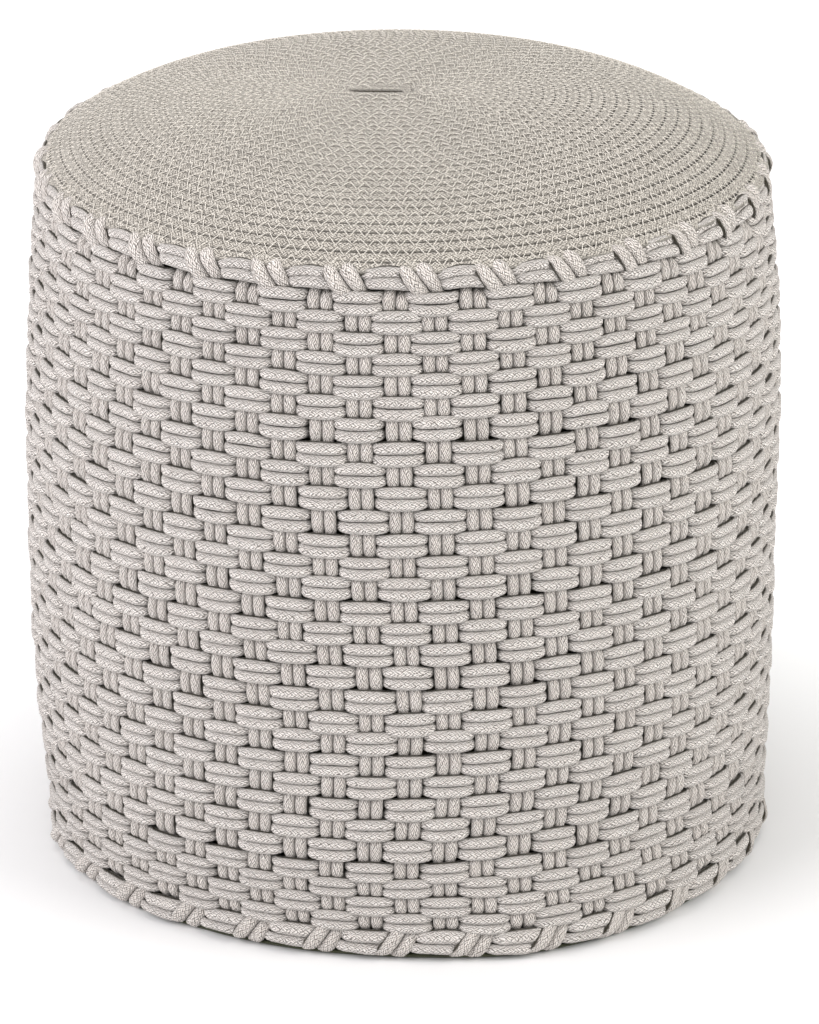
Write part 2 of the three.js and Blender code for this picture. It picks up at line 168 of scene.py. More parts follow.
FOOT_BAND = (80, 8)
FOOT_RING = (190, 222)
BACK_SIDE = (0.5, -0.2)


def settle(points):
    """Moves points with the slow unevenness of the whole."""
    x, y, z = np.moveaxis(np.array(points, float), -1, 0)
    twist = np.interp(z, TWIST_HEIGHTS, TWIST) / WIDEST_RADIUS
    x, y = x * np.cos(twist) - y * np.sin(twist), y * np.cos(twist) + x * np.sin(twist)
    radius = np.maximum(np.hypot(x, y), 1e-6)
    sine, cosine = x / radius, -y / radius
    outer = smoothstep(*SAG_RING, radius)
    high = smoothstep(*TOP_BAND, z)
    low = smoothstep(*FOOT_BAND, z) * smoothstep(*FOOT_RING, radius)
    swell = smooth_through(FOOT_ANGLES, FOOT_SWELL, np.degrees(np.arctan2(x, -y)))
    factor = 1 + low * swell / radius - SHOULDER * high * outer * smoothstep(*BACK_SIDE, cosine)
    sag_right, sag_left = (np.interp(z, SAG_HEIGHTS, sag) for sag in (SAG_RIGHT, SAG_LEFT))
    sag = np.where(sine > 0, sag_right, sag_left)
    lean = TOP_LEAN * high * x * (1 + y / LEAN_REACH)
    moved_x = x * factor + np.interp(z, SHIFT_HEIGHTS, SHIFT)
    return np.stack([moved_x, y * factor, z - sag * outer * sine**2 - lean], -1)


# Meshes: margins in the maps for baking, and how cords are pressed flat at the floor
MAP_MARGIN = 0.002
STRIP_EDGE = 0.06
CAP_SIZE = 0.5
CAP_CORNER = (0.01, 0.9)
FLOOR_GAP = 0.1
UNDER_FLOOR = 0.02


class Tubes:
    """Gathers cords that become one mesh, with a map of millimetres along and shares round them."""

    def __init__(self, sides, exponent):
        turn = 2 * np.pi * (np.arange(sides) + 0.5) / sides
        self.sides = sides
        self.shape = [np.sign(f) * np.abs(f) ** (2 / exponent) for f in (np.cos(turn), np.sin(turn))]
        self.points = []
        self.quads = []
        self.map = []
        self.runs = []
        self.caps = []
        self.count = 0

    def add(self, centres, outward, half_across, half_out, closed=False):
        sides = self.sides
        n = len(centres)
        if closed:
            tangent = unit(np.roll(centres, -1, 0) - np.roll(centres, 1, 0))
        else:
            tangent = unit(np.gradient(centres, axis=0))
        out = unit(outward - (outward * tangent).sum(-1, keepdims=True) * tangent)
        across = np.cross(tangent, out)
        rings = (
            centres[:, None]
            + across[:, None] * (np.broadcast_to(half_across, n)[:, None] * self.shape[0])[..., None]
            + out[:, None] * (np.broadcast_to(half_out, n)[:, None] * self.shape[1])[..., None]
        )
        after = np.roll(centres, -1, 0) if closed else centres[1:]
        steps = np.linalg.norm(after - centres[: len(after)], axis=1)
        along = np.concatenate([[0], np.cumsum(steps)])
        if closed:
            along *= round(along[-1] / BRAID_PITCH) * BRAID_PITCH / along[-1]
        spans = len(steps)
        ring = np.arange(sides) + self.count
        here = np.arange(spans)[:, None] * sides + ring
        there = (np.arange(1, spans + 1) % n)[:, None] * sides + ring
        quads = np.stack([here, np.roll(here, -1, 1), np.roll(there, -1, 1), there], -1)
        share = np.arange(sides + 1) / sides
        u = np.stack([along[:-1], along[:-1], along[1:], along[1:]], -1)[:, None].repeat(sides, 1)
        v = np.stack([share[:-1], share[1:], share[1:], share[:-1]], -1)[None].repeat(spans, 0)
        self.points.append(rings.reshape(-1, 3))
        self.quads.append(quads.reshape(-1, 4))
        self.map.append(np.stack([u, v], -1).reshape(-1, 4, 2))
        self.runs.append((spans, float(steps.mean()) if spans else 1.0))
        if not closed:
            k = np.arange(sides // 2 - 1)
            cap = np.stack([k, k + 1, sides - 2 - k, sides - 1 - k], -1)
            self.caps.append(cap[:, ::-1] + self.count)
            self.caps.append(cap + self.count + (n - 1) * sides)
        self.count += n * sides

    def bake_map(self, girth):
        """Lays the cords out in strips that fill a square."""
        sides = self.sides
        length = sum(spans * step for spans, step in self.runs)
        step = length / sum(spans for spans, _ in self.runs)
        per_strip = max(4, round(math.sqrt(length * girth) / step))
        strips = sum(math.ceil(spans / per_strip) for spans, _ in self.runs) + 1
        parts = []
        first = 0
        for spans, _ in self.runs:
            span = np.arange(spans)
            strip = first + span // per_strip
            x = (span % per_strip)[:, None, None] + np.array([0, 0, 1, 1])[None, None]
            x = MAP_MARGIN + (1 - 2 * MAP_MARGIN) * x / per_strip
            k = np.arange(sides)[None, :, None] + np.array([0, 1, 1, 0])[None, None]
            y = (strip[:, None, None] + STRIP_EDGE + (1 - 2 * STRIP_EDGE) * k / sides) / strips
            x, y = np.broadcast_arrays(x, y)
            parts.append(np.stack([x, y], -1).reshape(-1, 4, 2))
            first += math.ceil(spans / per_strip)
        corner = np.array([[0, 0], [1, 0], [1, 1], [0, 1]]) * CAP_SIZE / strips
        corner = corner + [CAP_CORNER[0], (strips - CAP_CORNER[1]) / strips]
        parts.append(np.broadcast_to(corner, (sum(len(cap) for cap in self.caps), 4, 2)))
        return np.concatenate(parts)

    def build(self, name, girth=20.0, on_floor=False, lift=None):
        """One object of all the cords. Points under the floor are pressed flat against it."""
        points = np.concatenate(self.points)
        if on_floor:
            over = points[:, 2] - FLOOR_GAP
            points[:, 2] = FLOOR_GAP + np.maximum(over, UNDER_FLOOR * over)
        quads = np.concatenate(self.quads + self.caps)
        flat = np.concatenate(self.map)
        caps = len(quads) - len(flat)
        flat = np.concatenate([flat, np.zeros((caps, 4, 2))])
        made = mesh_object(name, points, quads, {"cord_map": flat, "OFBake": self.bake_map(girth)})
        # The lift is kept as an attribute that sets the braid's painted shade
        if lift:
            layer = made.data.attributes.new("lift", "FLOAT", "POINT")
            layer.data.foreach_set("value", lift(points).astype(np.float32))
        return made


def mesh_object(name, points, quads, maps=None, smooth=True, settled=True):
    """One object from points in millimetres and faces of four corners."""
    if settled:
        points = settle(points)
    mesh = bpy.data.meshes.new(name)
    mesh.vertices.add(len(points))
    mesh.vertices.foreach_set("co", (np.asarray(points) * MM).astype(np.float32).ravel())
    mesh.loops.add(quads.size)
    mesh.loops.foreach_set("vertex_index", quads.astype(np.int32).ravel())
    mesh.polygons.add(len(quads))
    mesh.polygons.foreach_set("loop_start", np.arange(0, quads.size, 4, dtype=np.int32))
    mesh.polygons.foreach_set("use_smooth", np.full(len(quads), smooth))
    for key, values in (maps or {}).items():
        layer = mesh.uv_layers.new(name=key)
        layer.uv.foreach_set("vector", np.asarray(values, np.float32).ravel())
    mesh.update(calc_edges=True)
    mesh.validate()
    made = bpy.data.objects.new(name, mesh)
    bpy.context.scene.collection.objects.link(made)
    return made


def add_thickness(made, thickness):
    solid = made.modifiers.new("thickness", "SOLIDIFY")
    solid.thickness = thickness * MM
    solid.offset = 0


def grid_object(name, grid, closed_across=False, thickness=0.0, settled=True):
    """A sheet from rows of points. Its map is in millimetres along both ways."""
    rows, columns = grid.shape[:2]
    index = np.arange(rows * columns).reshape(rows, columns)
    across = np.roll(index, -1, 1) if closed_across else index[:, 1:]
    here = index if closed_across else index[:, :-1]
    quads = np.stack([here[:-1], across[:-1], across[1:], here[1:]], -1).reshape(-1, 4)
    wide = here.shape[1]
    steps = np.linalg.norm(np.diff(grid, axis=0), axis=-1).mean(1)
    along = np.concatenate([[0], np.cumsum(steps)])
    around = np.linalg.norm(grid[:, 1] - grid[:, 0], axis=-1).max() * np.arange(wide + 1)
    u = np.stack([around[:-1], around[1:], around[1:], around[:-1]], -1)[None].repeat(rows - 1, 0)
    v = np.stack([along[:-1], along[:-1], along[1:], along[1:]], -1)[:, None].repeat(wide, 1)
    flat = np.stack([u, v], -1).reshape(-1, 4, 2)
    even = flat / flat.reshape(-1, 2).max(0)
    maps = {"cord_map": flat, "OFBake": MAP_MARGIN + (1 - 2 * MAP_MARGIN) * even}
    made = mesh_object(name, grid.reshape(-1, 3), quads, maps, settled=settled)
    if thickness:
        add_thickness(made, thickness)
    return made


def finish_piece(made, body, material, slot, *nodes):
    made.data.materials.append(material)
    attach(made, body)
    if nodes:
        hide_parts(*nodes)


# Materials
class Nodes:
    """Short calls that add nodes to one material."""

    def __init__(self, name):
        self.material = bpy.data.materials.new(name)
        self.material.use_nodes = True
        self.tree = self.material.node_tree
        self.shader = self.tree.nodes["Principled BSDF"]

    def put(self, socket, value):
        if isinstance(value, bpy.types.NodeSocket):
            self.tree.links.new(value, socket)
        else:
            socket.default_value = value

    def math(self, operation, *values):
        node = self.tree.nodes.new("ShaderNodeMath")
        node.operation = operation
        for socket, value in zip(node.inputs, values):
            self.put(socket, value)
        return node.outputs[0]

    def ramp(self, value, low, high, out_low=0.0, out_high=1.0):
        node = self.tree.nodes.new("ShaderNodeMapRange")
        node.interpolation_type = "SMOOTHSTEP"
        for socket, number in zip(node.inputs, (value, low, high, out_low, out_high)):
            self.put(socket, number)
        return node.outputs[0]

    def blend(self, share, first, second):
        node = self.tree.nodes.new("ShaderNodeMix")
        node.data_type = "RGBA"
        for place, value in zip((0, 6, 7), (share, first, second)):
            self.put(node.inputs[place], value)
        return node.outputs[2]

    def pick(self, share, first, second):
        node = self.tree.nodes.new("ShaderNodeMix")
        for place, value in zip((0, 2, 3), (share, first, second)):
            self.put(node.inputs[place], value)
        return node.outputs[0]

    def uv(self):
        node = self.tree.nodes.new("ShaderNodeUVMap")
        node.uv_map = "cord_map"
        split = self.tree.nodes.new("ShaderNodeSeparateXYZ")
        self.tree.links.new(node.outputs[0], split.inputs[0])
        return split.outputs[0], split.outputs[1]

    def place(self):
        return self.tree.nodes.new("ShaderNodeTexCoord").outputs["Object"]

    def lift(self):
        node = self.tree.nodes.new("ShaderNodeAttribute")
        node.attribute_name = "lift"
        return node.outputs["Fac"]

    def noise(self, scale, detail=2.0, rough=0.5):
        node = self.tree.nodes.new("ShaderNodeTexNoise")
        for name, value in (("Scale", scale), ("Detail", detail), ("Roughness", rough)):
            self.put(node.inputs[name], value)
        self.tree.links.new(self.place(), node.inputs["Vector"])
        return node.outputs[0]

    def bump(self, height, distance):
        node = self.tree.nodes.new("ShaderNodeBump")
        node.inputs["Strength"].default_value = 1.0
        node.inputs["Distance"].default_value = distance * MM
        self.tree.links.new(height, node.inputs["Height"])
        self.tree.links.new(node.outputs[0], self.shader.inputs["Normal"])

    def finish(self, colour, roughness, sheen=0.0, metallic=0.0, specular=0.5):
        self.put(self.shader.inputs["Base Color"], colour)
        self.put(self.shader.inputs["Roughness"], roughness)
        self.shader.inputs["Metallic"].default_value = metallic
        self.shader.inputs["Specular IOR Level"].default_value = specular
        if sheen:
            self.shader.inputs["Sheen Weight"].default_value = sheen
            self.shader.inputs["Sheen Roughness"].default_value = 0.5
        return self.material


def colour(red, green, blue):
    """An sRGB colour of 0 to 255 as Blender's linear colour."""
    linear = [((c / 255 + 0.055) / 1.055) ** 2.4 if c > 10 else c / 255 / 12.92 for c in (red, green, blue)]
    return (*linear, 1.0)


# Braid of the cords. Strands stray along, in millimetres, and round, in strands; scales of noise
# are per metre, and tones are the range of a height or a noise that goes from dark to light. The
# dark between the strands, where their height is low, is painted shade.
BRAID_DEPTH = 0.9
STRAY_SCALES = (330.0, 420.0)
STRAY = (2.6, 0.5)
STRAND_END = 0.8
STRAND_TONES = (0.25, 0.9)
FIBRE_SCALE = 2600.0
FIBRE_HEIGHT = 0.55
GRAIN_SCALE = 1000.0
GRAIN_TONES = (0.36, 0.64)
PATCH_SCALE = 55.0
PATCH_SHARE = 0.3
WIDE_TONES = (0.3, 0.7)
CREASE_SHADE_SPREAD = (0.10, 0.48)
SUNK_SHADE = 0.95
# Colour of the painted shade in the weave's creases
PAINTED_SHADE_COLOUR = colour(58, 53, 39)


def braid_material(name, light, mid, dark, sides, shade_lift_range, side_shade=1.0):
    """Braided cord: strands of two yarns that cross each other, with painted shade between the strands, on
    the cords' sides and where they sink into the weave's creases.
    """
    n = Nodes(name)
    u, v = n.uv()
    u = n.math("MULTIPLY_ADD", n.noise(STRAY_SCALES[0]), STRAY[0], u)
    turn = n.math("MULTIPLY", v, BRAID_STRANDS)
    turn = n.math("MULTIPLY_ADD", n.noise(STRAY_SCALES[1], 1.0), STRAY[1], turn)
    slant = n.math("DIVIDE", u, BRAID_PITCH)
    crossing = [n.math(operation, turn, slant) for operation in ("ADD", "SUBTRACT")]
    cell = n.math("ADD", *[n.math("FLOOR", value) for value in crossing])
    below = n.math("FLOORED_MODULO", cell, 2.0)
    shares = [n.math("FRACT", value) for value in crossing]
    across = n.pick(below, shares[0], shares[1])
    along = n.pick(below, shares[1], shares[0])
    yarn = n.math("MULTIPLY_ADD", n.math("FRACT", n.math("MULTIPLY", across, 2.0)), 2.0, -1.0)
    yarn = n.math("SUBTRACT", 1.0, n.math("POWER", n.math("ABSOLUTE", yarn), 2.0))
    span = n.math("ABSOLUTE", n.math("MULTIPLY_ADD", along, 2.0, -1.0))
    arch = n.math("SUBTRACT", 1.0, n.math("MULTIPLY", n.math("POWER", span, 3.0), STRAND_END))
    fibre = n.noise(FIBRE_SCALE, rough=0.7)
    height = n.math("MULTIPLY_ADD", fibre, FIBRE_HEIGHT, n.math("MULTIPLY", yarn, arch))
    n.bump(height, BRAID_DEPTH)
    pale = n.blend(n.ramp(n.noise(GRAIN_SCALE, rough=0.65), *GRAIN_TONES), mid, light)
    pale = n.blend(n.ramp(n.noise(PATCH_SCALE), *WIDE_TONES, 0.0, PATCH_SHARE), pale, mid)
    # Painted shade: strands are darker where the braid's height is low, between them and at their ends
    tone = n.blend(n.ramp(height, *STRAND_TONES), dark, pale)
    # Painted shade on the cord's sides, where it faces its neighbours, and where its lift shows it sunk into
    # the weave
    facing = n.math("SINE", n.math("MULTIPLY_ADD", v, 2 * math.pi, math.pi / sides))
    painted_crease_shade = n.ramp(n.math("ABSOLUTE", facing), *CREASE_SHADE_SPREAD, side_shade, 0.0)
    painted_sunk_shade = n.ramp(n.lift(), *shade_lift_range, SUNK_SHADE, 0.0)
    return n.finish(n.blend(n.math("MAXIMUM", painted_crease_shade, painted_sunk_shade), tone, PAINTED_SHADE_COLOUR), 0.92, sheen=0.15, specular=0.2)


def cloth_material(name, light, dark, thread):
    """Plain weave with threads that many millimetres apart."""
    n = Nodes(name)
    waves = [n.math("SINE", n.math("MULTIPLY", value, math.pi / thread)) for value in n.uv()]
    over = n.math("GREATER_THAN", n.math("MULTIPLY", *waves), 0.0)
    ridge = n.pick(over, *[n.math("ABSOLUTE", wave) for wave in waves])
    height = n.math("MULTIPLY_ADD", n.noise(1800.0), 0.4, ridge)
    n.bump(height, 0.25)
    patch = n.ramp(n.noise(14.0, 3.0), *WIDE_TONES, 0.0, 0.5)
    tone = n.blend(n.ramp(height, 0.3, 1.1), dark, light)
    return n.finish(n.blend(patch, tone, dark), 0.95, sheen=0.1, specular=0.2)


def fibre_material(name, light, dark):
    """Loose fibres, with no weave."""
    n = Nodes(name)
    coarse = n.noise(90.0, 4.0, rough=0.65)
    n.bump(coarse, 2.0)
    return n.finish(n.blend(n.ramp(coarse, *WIDE_TONES), dark, light), 0.9, sheen=0.2, specular=0.2)


def thread_material(name, light, dark, twist):
    """Sewing thread with a twist along its length, of so many millimetres."""
    n = Nodes(name)
    u, v = n.uv()
    wave = n.math("SINE", n.math("MULTIPLY", n.math("ADD", n.math("DIVIDE", u, twist), v), 2 * math.pi))
    n.bump(wave, 0.05)
    return n.finish(n.blend(n.ramp(wave, -1.0, 1.0), dark, light), 0.7, sheen=0.1, specular=0.3)


def metal_material(name, light, dark):
    """Plated metal with fine scratches and rubbed places."""
    n = Nodes(name)
    rub = n.noise(240.0, 4.0)
    n.bump(n.noise(5200.0, 3.0), 0.03)
    roughness = n.ramp(rub, *WIDE_TONES, 0.22, 0.42)
    return n.finish(n.blend(n.ramp(rub, 0.25, 0.75), dark, light), roughness, metallic=1.0)


def plastic_material(name, light, dark):
    """Moulded plastic with a faint mottle."""
    n = Nodes(name)
    mottle = n.noise(700.0, 3.0)
    n.bump(mottle, 0.04)
    roughness = n.ramp(mottle, *WIDE_TONES, 0.35, 0.5)
    return n.finish(n.blend(n.ramp(mottle, *WIDE_TONES), dark, light), roughness)


WEFT_SIDES, WEFT_SQUARENESS = 12, 2.9
WARP_SIDES, WARP_SQUARENESS = 10, 2.6
COIL_SIDES, COIL_SQUARENESS = 14, 7.0
THREAD_SIDES, THREAD_SQUARENESS = 4, 2.0
# The dark colour of each braid is the painted shade between its strands
WEFT_LOOK = braid_material(
    "weft braid",
    light=colour(255, 251, 247),
    mid=colour(236, 228, 222),
    dark=colour(98, 90, 80),
    sides=WEFT_SIDES,
    shade_lift_range=(0.6, 4.2),
)
WARP_LOOK = braid_material(
    "warp braid",
    light=colour(255, 250, 245),
    mid=colour(234, 225, 218),
    dark=colour(96, 87, 77),
    sides=WARP_SIDES,
    shade_lift_range=(-0.6, 3.2),
)
# The coil's cord is darker and greyer than the side's cords
COIL_LOOK = braid_material(
    "coil braid",
    light=colour(228, 222, 212),
    mid=colour(188, 181, 171),
    dark=colour(66, 60, 51),
    sides=COIL_SIDES,
    shade_lift_range=(1.2, 4.4),
    side_shade=0.95,
)
THREAD_LOOK = thread_material("zigzag thread", colour(238, 233, 225), colour(196, 190, 180), 1.6)
LINING_LOOK = cloth_material("lining cloth", colour(136, 130, 106), colour(92, 88, 68), 0.5)
BASE_LOOK = cloth_material("base cloth", colour(92, 96, 72), colour(54, 57, 42), 0.6)
BAG_LOOK = cloth_material("bag cloth", colour(226, 223, 214), colour(190, 186, 176), 0.45)
FILLING_LOOK = fibre_material("filling fibre", colour(244, 243, 238), colour(214, 212, 204))
TAPE_LOOK = cloth_material("zip tape", colour(66, 68, 60), colour(36, 38, 34), 0.4)
TEETH_LOOK = plastic_material("zip teeth", colour(62, 62, 56), colour(38, 38, 34))
METAL_LOOK = metal_material("zip metal", colour(196, 194, 188), colour(140, 138, 132))
HEM_LOOK = thread_material("base thread", colour(110, 116, 100), colour(70, 74, 64), 1.2)


# Weft rows: two cords side by side, over one pair of warps and under the next
BLOCK_PHASES = np.array([0, 0.17, 0.30, 0.39, 0.5, 0.61, 0.70, 0.83])
BLOCK_SHARPNESS = 2.3
LATE_DIVE = 0.10
PINCH = 0.09
PINCH_SPAN = (0.10, 0.62)
PINCH_SWELL = 0.04
SQUEEZE_SWELL = 0.25
ROW_WAVES = 7

# Unevenness of the wefts: columns for "along", a share for "width", and millimetres for the rest
WEFT_JITTER = dict(along=0.02, row=0.5, block=0.38, bulge=0.22, width=0.035, cord_bulge=0.16, cord_height=0.1)

# The rows at the rims. Pairs of numbers are for the upper and the lower cord.
OUTER_LEAD, INNER_LEAD = 0.30, 0.12
BASE_WIDTHS = (1.36, 1.14)
BASE_OUT = 2.4
BASE_DROP = 1.5
TOP_OUT = 1.8
TOP_DROP = 3.0
TOP_INWARD = (1.2, 0.2)
TOP_DOWN = (1.3, -0.3)


def block_distance(columns):
    """Share of the way from the middle of a block, 0, to the middle of the gap beside it, 1."""
    return np.arccos(np.clip(np.cos(np.pi * columns), -1, 1)) / np.pi


def weft_wave(away):
    """1 on a block and -1 under the warps, with a late dive at the block's end."""
    return np.cos(np.pi * (away - LATE_DIVE * np.sin(np.pi * away)))


def weft_row(row):
    rng = np.random.default_rng(100 + row)
    t = (np.arange(COLUMNS)[:, None] + BLOCK_PHASES).ravel()

    def uneven(kind, at=t, knots=COLUMNS):
        return ring_noise(rng, knots, at, WEFT_JITTER[kind])

    shifted = t + uneven("along", t + 0.5)
    pinch = smoothstep(*PINCH_SPAN, block_distance(shifted + row + 1))
    squeeze = ROW_SQUEEZE[row - 1]
    level = ROW_HEIGHTS[row - 1] + uneven("row", t * ROW_WAVES / COLUMNS, ROW_WAVES) + uneven("block")
    angle = t * COLUMN_STEP
    bulge = uneven("bulge")
    cords = Tubes(WEFT_SIDES, WEFT_SQUARENESS)
    for cord, side in enumerate((1, -1)):
        half = WEFT_HALF * squeeze * (1 - PINCH * pinch) * (1 + uneven("width"))
        thick = WEFT_THICK * (1 + PINCH_SWELL * pinch) * (1 + SQUEEZE_SWELL * (1 - squeeze))
        lead = 0
        if row == ROWS:
            half = half * BASE_WIDTHS[cord]
        if row in (1, ROWS):
            at_rim = (side > 0) == (row == 1)
            lead = OUTER_LEAD if at_rim else INNER_LEAD
        wave = weft_wave(block_distance(shifted + row + 1 + lead))
        inside = (1 - wave) / 2
        offset = WEFT_SWING * flatten_wave(wave, BLOCK_SHARPNESS) + bulge + uneven("cord_bulge")
        height = level + side * half * PAIR_SPREAD + uneven("cord_height")
        if row == ROWS:
            offset = offset + BASE_OUT * inside
            height = height - BASE_DROP
        if row == 1:
            offset = offset + TOP_OUT * inside - TOP_INWARD[cord]
            height = height - TOP_DROP * inside - TOP_DOWN[cord]
        cords.add(on_side(angle, height, offset), out_from_axis(angle), half, thick, closed=True)
    made = cords.build(f"weft_cords_{row:02d}", on_floor=True, lift=side_lift)
    finish_piece(made, "ottoman", WEFT_LOOK, "rope", f"weft_row_{row:02d}")


for row in range(1, ROWS + 1):
    weft_row(row)


# Lacing: a pair of warp cords, up one column, over the top rim, down the next and under the
# bottom rim. Turns give place along, height, offset and the tilt of the pair, and its girth.
TOP_TURN = np.array([
    [-0.8, 411.6, 0.4, 4, 1.04],
    [-3.2, 415.6, 2.7, 8, 1.16],
    [-6.0, 419.4, 3.9, 18, 1.28],
    [-9.0, 422.6, 3.6, 42, 1.30],
    [-12.0, 424.2, 0.8, 86, 1.22],
    [-14.6, 422.8, -2.4, 130, 1.08],
    [-17.4, 419.0, -3.9, 162, 0.96],
    [-20.6, 415.2, -3.2, 176, 0.94],
])
BOTTOM_TURN = np.array([
    [-0.8, 20.0, 0.8, 176, 1.04],
    [-3.8, 15.2, 3.2, 168, 1.16],
    [-7.4, 10.2, 3.9, 156, 1.28],
    [-11.0, 6.2, 2.6, 128, 1.28],
    [-14.4, 5.0, -1.2, 92, 1.14],
    [-17.7, 7.6, -3.3, 50, 1.0],
    [-20.6, 12.4, -3.4, 20, 0.96],
    [-22.3, 16.8, -2.6, 4, 0.96],
])
WALL_ROWS = np.arange(2, ROWS - 1 + 0.01, 0.25)
WALL_HEIGHTS = np.interp(WALL_ROWS, np.arange(1, ROWS + 1), ROW_HEIGHTS)
WALL_SHARPNESS = 1.2
WALL_KNOTS = 40
WALL_JITTER = (0.28, 0.18, 0.02)
UNDER_WEFT_GIRTH = 0.05
TURN_JITTER = 0.35
TURN_JITTER_SHARES = np.array([1, 0.6, 0.5])
COLUMNS_PER_PIECE = 8
CUT_SAMPLES = 9


def wall_run(column, rng):
    """Place along, height, offset, tilt and girth of the pair on one column, from the top down."""
    wave = np.cos(np.pi * (WALL_ROWS + column + 1))
    sway = ring_noise(rng, WALL_KNOTS, WALL_ROWS + 3, WALL_JITTER[0])
    offset = -WARP_SWING * flatten_wave(wave, WALL_SHARPNESS)
    offset = offset + ring_noise(rng, WALL_KNOTS, WALL_ROWS, WALL_JITTER[1])
    girth = 1 - UNDER_WEFT_GIRTH * wave + ring_noise(rng, WALL_KNOTS, WALL_ROWS + 7, WALL_JITTER[2])
    tilt = np.full(len(WALL_ROWS), 0.0 if column % 2 else 180.0)
    return np.stack([sway, WALL_HEIGHTS, offset, tilt, girth], -1)


def through(points, steps=3):
    """A smooth line through the points, from the second to the last but one."""
    before, here, after, later = points[:-3], points[1:-2], points[2:-1], points[3:]
    parts = []
    for t in np.arange(steps) / steps:
        curve = 2 * here + (after - before) * t
        curve = curve + (2 * before - 5 * here + 4 * after - later) * t**2
        curve = curve + (3 * here - before - 3 * after + later) * t**3
        parts.append(0.5 * curve)
    return np.stack(parts, 1).reshape(-1, points.shape[1])


def lacing():
    """Samples of the whole closed lacing, and where each new piece of it starts."""
    rng = np.random.default_rng(7)
    runs = [wall_run(column, rng) for column in range(COLUMNS)]
    samples, starts = [], []
    count = 0
    for column in range(COLUMNS - 1, -1, -1):
        rises = column % 2 == 1
        run = runs[column][::-1] if rises else runs[column]
        following = runs[column - 1]
        following = following if rises else following[::-1]
        jitter = rng.normal(0, TURN_JITTER, 3)
        turn = (TOP_TURN if rises else BOTTOM_TURN).copy()
        turn[1:5, :3] += jitter * TURN_JITTER_SHARES
        moved = following.copy()
        moved[:, 0] -= COLUMN_WIDTH
        joined = through(np.concatenate([run[-2:], turn, moved[:2]]))
        part = np.concatenate([run[:-1], joined])
        part[:, 0] += column * COLUMN_WIDTH
        samples.append(part)
        if not rises and column % COLUMNS_PER_PIECE == 0:
            starts.append(count + len(part) - CUT_SAMPLES)
        count += len(part)
    return np.concatenate(samples), starts


def warp_pieces():
    samples, starts = lacing()
    place, height, offset, tilt, girth = samples.T
    angle = place / WIDEST_RADIUS
    centres = on_side(angle, height, offset)
    tilt = np.radians(tilt)[:, None]
    facing = np.cos(tilt) * out_from_axis(angle) + np.sin(tilt) * UP
    tangent = unit(np.roll(centres, -1, 0) - np.roll(centres, 1, 0))
    facing = unit(facing - (facing * tangent).sum(-1, keepdims=True) * tangent)
    across = np.cross(tangent, facing)
    total = len(samples)
    edges = [starts[-1] - total, *starts]
    for piece, (first, last) in enumerate(zip(edges, edges[1:])):
        span = np.arange(first, last + 1) % total
        cords = Tubes(WARP_SIDES, WARP_SQUARENESS)
        for side in (1, -1):
            half = WARP_HALF * girth[span]
            middle = centres[span] + side * across[span] * (half * PAIR_SPREAD)[:, None]
            cords.add(middle, facing[span], half, WARP_THICK * girth[span])
        made = cords.build(f"warp_cords_{piece + 1:02d}", on_floor=True, lift=side_lift)
        finish_piece(made, "ottoman", WARP_LOOK, "rope", "warp_lacing")


warp_pieces()


# Coiled top: one cord from the middle out, sewn turn to turn with a zigzag thread
COIL_TURNS = 31
COIL_RADIUS = 211.8
COIL_START = math.radians(150)
COIL_START_PITCHES = 0.5
COIL_END_TURNS = 0.4
COIL_OVAL = 42.0
COIL_OVAL_CORE = 16
COIL_OVAL_FADE = 46.0
COIL_OVAL_SHARPNESS = 2.5
COIL_DRIFT = (-14.5, 8.0)
COIL_WAVER = 0.25
COIL_NOTCH = 1.5
COIL_NOTCH_PLACE = 0.37
COIL_NOTCH_DEPTH = 8
COIL_HEIGHT_JITTER = 0.10
COIL_KNOTS_PER_TURN = 9
COIL_OVERLAP = 1.02
COIL_SAMPLES = ((1.2, -0.32, 2), (3.4, 2, COIL_TURNS - 0.03))
TUCK_TURNS = (COIL_TURNS - 0.10, COIL_TURNS - 0.03)
TUCK_DOWN = 2.6
TUCK_IN = 0.25
TUCK_NARROW = 0.3


def crown(radius):
    """Height of the coil's seat at a radius."""
    return COIL_SEAT + CROWN_RISE * (1 - (radius / COIL_RADIUS) ** CROWN_POWER)


def crown_at(x, y):
    return crown(np.hypot(x, y))


def crown_normal(x, y):
    radius = np.hypot(x, y)
    fall = CROWN_RISE * CROWN_POWER * radius ** (CROWN_POWER - 2) / COIL_RADIUS**CROWN_POWER
    return unit(np.stack([fall * x, fall * y, 1 + 0 * x], -1))


def coil_lift(points):
    """How far points stand above the coil's seat, which sets the braid's painted shade in the grooves between
    turns.
    """
    x, y = points[:, 0], points[:, 1]
    return (points[:, 2] - crown_at(x, y)) * crown_normal(x, y)[:, 2]


RADII_OUT = np.linspace(0, 1.02 * COIL_RADIUS, 800)
LENGTHS_OUT = np.concatenate([[0], np.cumsum(np.hypot(np.diff(RADII_OUT), np.diff(crown(RADII_OUT))))])
COIL_PITCH = np.interp(COIL_RADIUS, RADII_OUT, LENGTHS_OUT) / (COIL_TURNS + COIL_END_TURNS)


